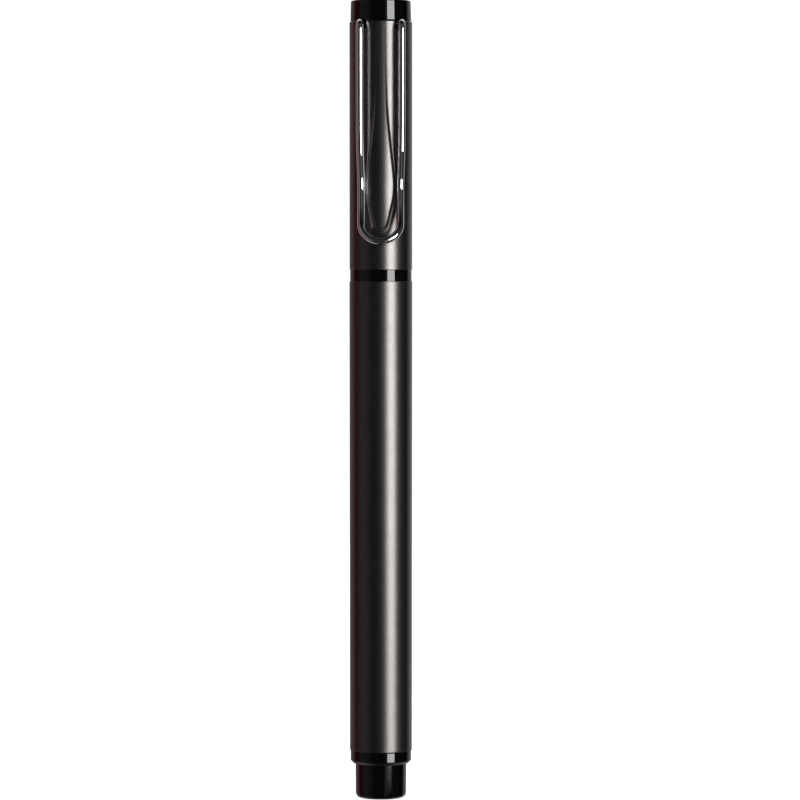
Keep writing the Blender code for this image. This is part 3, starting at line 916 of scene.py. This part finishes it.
def notch_tool(side):
    """A round-bottomed cutter for the slot in the rim at one end of the clip wire."""
    work = bmesh.new()
    bmesh.ops.create_cube(work, size=1.0)
    for v in work.verts:
        v.co.x *= NOTCH_SIZE[0] * MM
        v.co.y *= NOTCH_SIZE[1] * MM
        v.co.z = (v.co.z + 0.5) * NOTCH_SIZE[2] * MM
    low_edges = []
    for edge in work.edges:
        low = all(v.co.z < 0.1 * MM for v in edge.verts)
        if low and abs(edge.verts[0].co.x - edge.verts[1].co.x) < 1e-6:
            low_edges.append(edge)
    bmesh.ops.bevel(
        work, geom=low_edges, offset=NOTCH_ROUND * MM, segments=8, affect="EDGES", profile=0.5
    )
    mesh = bpy.data.meshes.new("notch_tool")
    work.to_mesh(mesh)
    work.free()
    obj = bpy.data.objects.new("notch_tool", mesh)
    obj.location = (side * NOTCH_MIDDLE[0] * MM, NOTCH_MIDDLE[1] * MM, NOTCH_BOTTOM * MM)
    obj.rotation_euler = (0.0, 0.0, side * NOTCH_TURN)
    bpy.context.scene.collection.objects.link(obj)
    return obj


for side in (-1.0, 1.0):
    tool = notch_tool(side)
    cut = shell.modifiers.new("Notch", "BOOLEAN")
    cut.object = tool
    cut.operation = "DIFFERENCE"
    cut.solver = "EXACT"
    bpy.context.view_layer.update()
    graph = bpy.context.evaluated_depsgraph_get()
    fresh = bpy.data.meshes.new_from_object(shell.evaluated_get(graph))
    shell.modifiers.clear()
    old = shell.data
    shell.data = fresh
    bpy.data.meshes.remove(old)
    bpy.data.objects.remove(tool)
shell.data.shade_smooth()
shell.data.set_sharp_from_angle(angle=math.radians(40.0))

z0, z1, r1 = span("cap_snap_ring")
gap = math.asin(0.45 / 4.7)  # half the gap of 0.9 mm at a radius of 4.7 mm
turned(
    "cap_snap_ring",
    "cap_ring",
    "spring_steel",
    [
        (4.60, z1, 0.10),
        (r1, z1, 0.05),
        (r1, z0, 0.05),
        (4.60, z0, 0.10),
        (4.58, (z0 + z1) / 2, 0.6),
    ],
    arc=(math.pi / 2 + gap, math.pi / 2 + math.tau - gap),
    steps=128,
)

z0, z1, r1 = span("inner_cap")
turned(
    "inner_cap",
    "cap",
    "liner_white",
    [
        (0.0, z1 - 1.5),
        (2.26, z1 - 1.5, 0.05),
        (2.26, z1, 0.12),
        (r1, z1, 0.25),
        (r1, z0, 0.25),
        (4.12, z0, 0.15),
        (4.12, z0 + 14.5, 0.4),
        (2.90, z0 + 18.6, 0.4),
        (2.90, z1 - 3.0, 0.05),
        (0.0, z1 - 3.0),
    ],
    closed=False,
    steps=FINE_STEPS,
)

z0, z1, r1 = span("tip_seal")
turned(
    "tip_seal",
    "cap",
    "soft_rubber",
    [(0.0, z1), (r1, z1, 0.08), (r1, z0, 0.2), (0.0, z0)],
    closed=False,
    steps=FINE_STEPS,
)

z0, z1, r1 = span("clip_retainer")
turned(
    "clip_retainer",
    "cap",
    "brass",
    [(2.30, z1, 0.08), (r1, z1, 0.12), (r1, z0, 0.12), (2.30, z0, 0.08)],
    steps=FINE_STEPS,
)

z0, z1, r1 = span("cap_top_plug")
PLUG_BOTTOM = 134.45
PLUG_R_TOP = 5.19
turned(
    "cap_top_plug",
    "cap",
    "gloss_black",
    [
        (0.0, z1),
        (PLUG_R_TOP, z1, 0.28),
        (r1, PLUG_BOTTOM, 0.08),
        (2.20, PLUG_BOTTOM, 0.05),
        (2.20, z0, 0.2),
        (0.0, z0),
    ],
    closed=False,
)

# ---------------------------------------------------------------- clip

CLIP_END = 3.36  # half width at the bend and the loop

# One side of the wire, from inside the cap, over the rim, down to the bend and out again.
CLIP_SIDE = [
    (2.50, -2.80, HINGE[2]),
    (3.04, -3.90, HINGE[2]),
    (3.37, -4.60, 133.86),
    (3.45, -5.02, 134.00),
    (3.52, -5.40, 133.92),
    (3.57, -5.68, 133.66),
    (3.60, -5.86, 133.22),
    (3.61, -5.95, 132.60),
    (3.615, -6.00, 131.60),
    (3.615, -6.00, 126.00),
    (3.60, -6.00, 116.00),
    (3.58, -5.99, 114.00),
    (3.56, -5.95, 112.60),
    (3.52, -5.80, 111.20),
    (3.45, -5.47, 109.20),
    (3.38, -5.15, 107.30),
    (CLIP_END, -5.10, 106.50),
    (CLIP_END, -5.15, 105.70),
    (CLIP_END, -5.41, 104.20),
    (CLIP_END, -6.02, 102.00),
]
LOOP_BOTTOM = 96.5
LOOP_TILT = math.radians(30.0)  # the loop leans away from the cap
LOOP_SLOPE = 0.45  # slope of the legs down to the loop
LOOP_PARTS = 24
loop_drop = CLIP_END * math.cos(LOOP_TILT)
loop_out = CLIP_END * math.sin(LOOP_TILT)
loop_top = LOOP_BOTTOM + loop_drop
loop_y = CLIP_SIDE[-1][1] - (CLIP_SIDE[-1][2] - loop_top) * LOOP_SLOPE
loop = []
for i in range(LOOP_PARTS + 1):
    a = math.pi * i / LOOP_PARTS
    down = math.sin(a)
    loop.append((CLIP_END * math.cos(a), loop_y - loop_out * down, loop_top - loop_drop * down))
route = CLIP_SIDE + loop + [(-x, y, z) for x, y, z in reversed(CLIP_SIDE)]
swept("clip_wire", "clip", "chrome", smooth_path(route, 0.14), WIRE_R, 32)

# ---------------------------------------------------------------- studio


def soft_box(name, azimuth, distance, height, width, tall, power):
    """A soft box facing the pen. Azimuth 0 is in front, 90 on the +X side."""
    data = bpy.data.lights.new(name, "AREA")
    data.shape = "RECTANGLE"
    data.size = width
    data.size_y = tall
    data.energy = power
    obj = bpy.data.objects.new(name, data)
    a = math.radians(azimuth)
    obj.location = (distance * math.sin(a), -distance * math.cos(a), height)
    aim = Vector((0.0, 0.0, height)) - obj.location
    obj.rotation_euler = aim.to_track_quat("-Z", "Y").to_euler()
    obj.visible_camera = False
    bpy.context.scene.collection.objects.link(obj)


soft_box("softbox_right", 38.8, 3.00, 0.2675, width=1.49, tall=1.375, power=67.5)
soft_box("softbox_back", 180.0, 0.60, 0.095, width=0.250, tall=0.47, power=0.7)

# Radiance round the pen by direction: degrees from the front, positive to +X.
SURROUND = (
    (-180, (0.45, 0.44, 0.45)),
    (-160, (0.17, 0.14, 0.15)),
    (-140, (0.31, 0.26, 0.27)),
    (-124, (0.30, 0.21, 0.22)),
    (-114, (0.13, 0.03, 0.035)),
    (-98, (0.14, 0.012, 0.020)),
    (-88, (0.19, 0.065, 0.080)),
    (-80, (0.17, 0.155, 0.165)),
    (-52, (0.13, 0.13, 0.13)),
    (-40, (0.07, 0.07, 0.07)),
    (-28, (0.032, 0.032, 0.033)),
    (6, (0.026, 0.026, 0.026)),
    (14, (0.04, 0.04, 0.04)),
    (25, (0.30, 0.295, 0.29)),
    (28, (0.05, 0.05, 0.05)),
    (60, (0.04, 0.04, 0.04)),
    (86, (0.035, 0.036, 0.040)),
    (92, (0.015, 0.024, 0.036)),
    (100, (0.004, 0.008, 0.016)),
    (114, (0.002, 0.004, 0.008)),
    (119, (0.10, 0.10, 0.11)),
    (124, (0.42, 0.41, 0.42)),
    (145, (0.52, 0.51, 0.52)),
    (165, (0.48, 0.47, 0.48)),
    (180, (0.45, 0.44, 0.45)),
)
ABOVE_FRONT = (0.006, 0.006, 0.007, 1.0)
ABOVE_BACK = (0.80, 0.77, 0.79, 1.0)
BELOW_FRONT = (0.012, 0.012, 0.012, 1.0)
BELOW_BACK = (0.50, 0.48, 0.49, 1.0)
BACKDROP = (1.05, 1.05, 1.05, 1.0)  # what the camera sees behind the pen

world = bpy.data.worlds.new("studio")
bpy.context.scene.world = world
world.use_nodes = True
tree = world.node_tree
tree.nodes.clear()


def world_math(operation, a, b):
    node = tree.nodes.new("ShaderNodeMath")
    node.operation = operation
    for k, value in enumerate((a, b)):
        if isinstance(value, (int, float)):
            node.inputs[k].default_value = value
        else:
            tree.links.new(value, node.inputs[k])
    return node.outputs[0]


def world_step(value, low, high):
    node = tree.nodes.new("ShaderNodeMapRange")
    node.interpolation_type = "SMOOTHSTEP"
    node.inputs["From Min"].default_value = low
    node.inputs["From Max"].default_value = high
    tree.links.new(value, node.inputs["Value"])
    return node.outputs["Result"]


def world_mix(factor, a, b):
    node = tree.nodes.new("ShaderNodeMix")
    node.data_type = "RGBA"
    for name, value in (("A", a), ("B", b)):
        if isinstance(value, tuple):
            node.inputs[name].default_value = value
        else:
            tree.links.new(value, node.inputs[name])
    tree.links.new(factor, node.inputs["Factor"])
    return node.outputs["Result"]


where = tree.nodes.new("ShaderNodeTexCoord")
axes = tree.nodes.new("ShaderNodeSeparateXYZ")
tree.links.new(where.outputs["Generated"], axes.inputs[0])
to_front = world_math("MULTIPLY", axes.outputs["Y"], -1.0)
around = world_math("ARCTAN2", axes.outputs["X"], to_front)
place = world_math("ADD", world_math("DIVIDE", around, math.tau), 0.5)
ramp = tree.nodes.new("ShaderNodeValToRGB")
stops = ramp.color_ramp.elements
while len(stops) > 1:
    stops.remove(stops[-1])
for i, (degrees, colour) in enumerate(SURROUND):
    at = (degrees + 180.0) / 360.0
    stop = stops[0] if i == 0 else stops.new(at)
    stop.position = at
    stop.color = (*colour, 1.0)
tree.links.new(place, ramp.inputs["Fac"])
behind = world_step(axes.outputs["Y"], -0.10, 0.35)
above = world_mix(behind, ABOVE_FRONT, ABOVE_BACK)
below = world_mix(behind, BELOW_FRONT, BELOW_BACK)
sky = world_mix(world_step(axes.outputs["Z"], 0.55, 0.80), ramp.outputs["Color"], above)
down = world_math("MULTIPLY", axes.outputs["Z"], -1.0)
sky = world_mix(world_step(down, 0.55, 0.80), sky, below)
seen = tree.nodes.new("ShaderNodeLightPath").outputs["Is Camera Ray"]
sky = world_mix(seen, sky, BACKDROP)
background = tree.nodes.new("ShaderNodeBackground")
tree.links.new(sky, background.inputs["Color"])
target = tree.nodes.new("ShaderNodeOutputWorld")
tree.links.new(background.outputs[0], target.inputs["Surface"])

# ---------------------------------------------------------------- floor

FLOOR_HALF = 3.0
FLOOR_Z = -0.00002  # just under the pen's flat end
floor_mesh = bpy.data.meshes.new("floor")
corners = [(-1, -1), (1, -1), (1, 1), (-1, 1)]
floor_mesh.from_pydata(
    [(x * FLOOR_HALF, y * FLOOR_HALF, FLOOR_Z) for x, y in corners], [], [(0, 1, 2, 3)]
)
floor = bpy.data.objects.new("floor", floor_mesh)
bpy.context.scene.collection.objects.link(floor)
paper = Look("floor_paper").set(IOR=1.3)
paper.set(Emission_Color=(1.0, 1.0, 1.0, 1.0), Emission_Strength=0.88)
paper.colour(paper.blend(paper.noise(40.0, 4.0), (0.80, 0.80, 0.80), (0.84, 0.84, 0.84)))
paper.roughness(paper.spread(paper.noise(300.0, 3.0), 0.3, 0.7, 0.85, 0.95))
floor_mesh.materials.append(paper.material)
floor.visible_glossy = False
floor.visible_shadow = False

# ---------------------------------------------------------------- camera

CAMERA_LENS = 171.23
CAMERA_PLACE = (0.00331, -0.659, 0.09239)
CAMERA_DOWN = 2.03  # degrees below level

camera_data = bpy.data.cameras.new("camera")
camera_data.lens = CAMERA_LENS
camera_data.sensor_width = 36.0
camera_data.clip_start = 0.01
camera_data.clip_end = 20.0
camera = bpy.data.objects.new("camera", camera_data)
camera.location = CAMERA_PLACE
camera.rotation_euler = (math.radians(90.0 - CAMERA_DOWN), 0.0, 0.0)
bpy.context.scene.collection.objects.link(camera)
bpy.context.scene.camera = camera
bpy.context.scene.view_settings.view_transform = "Standard"
bpy.context.scene.view_settings.look = "None"
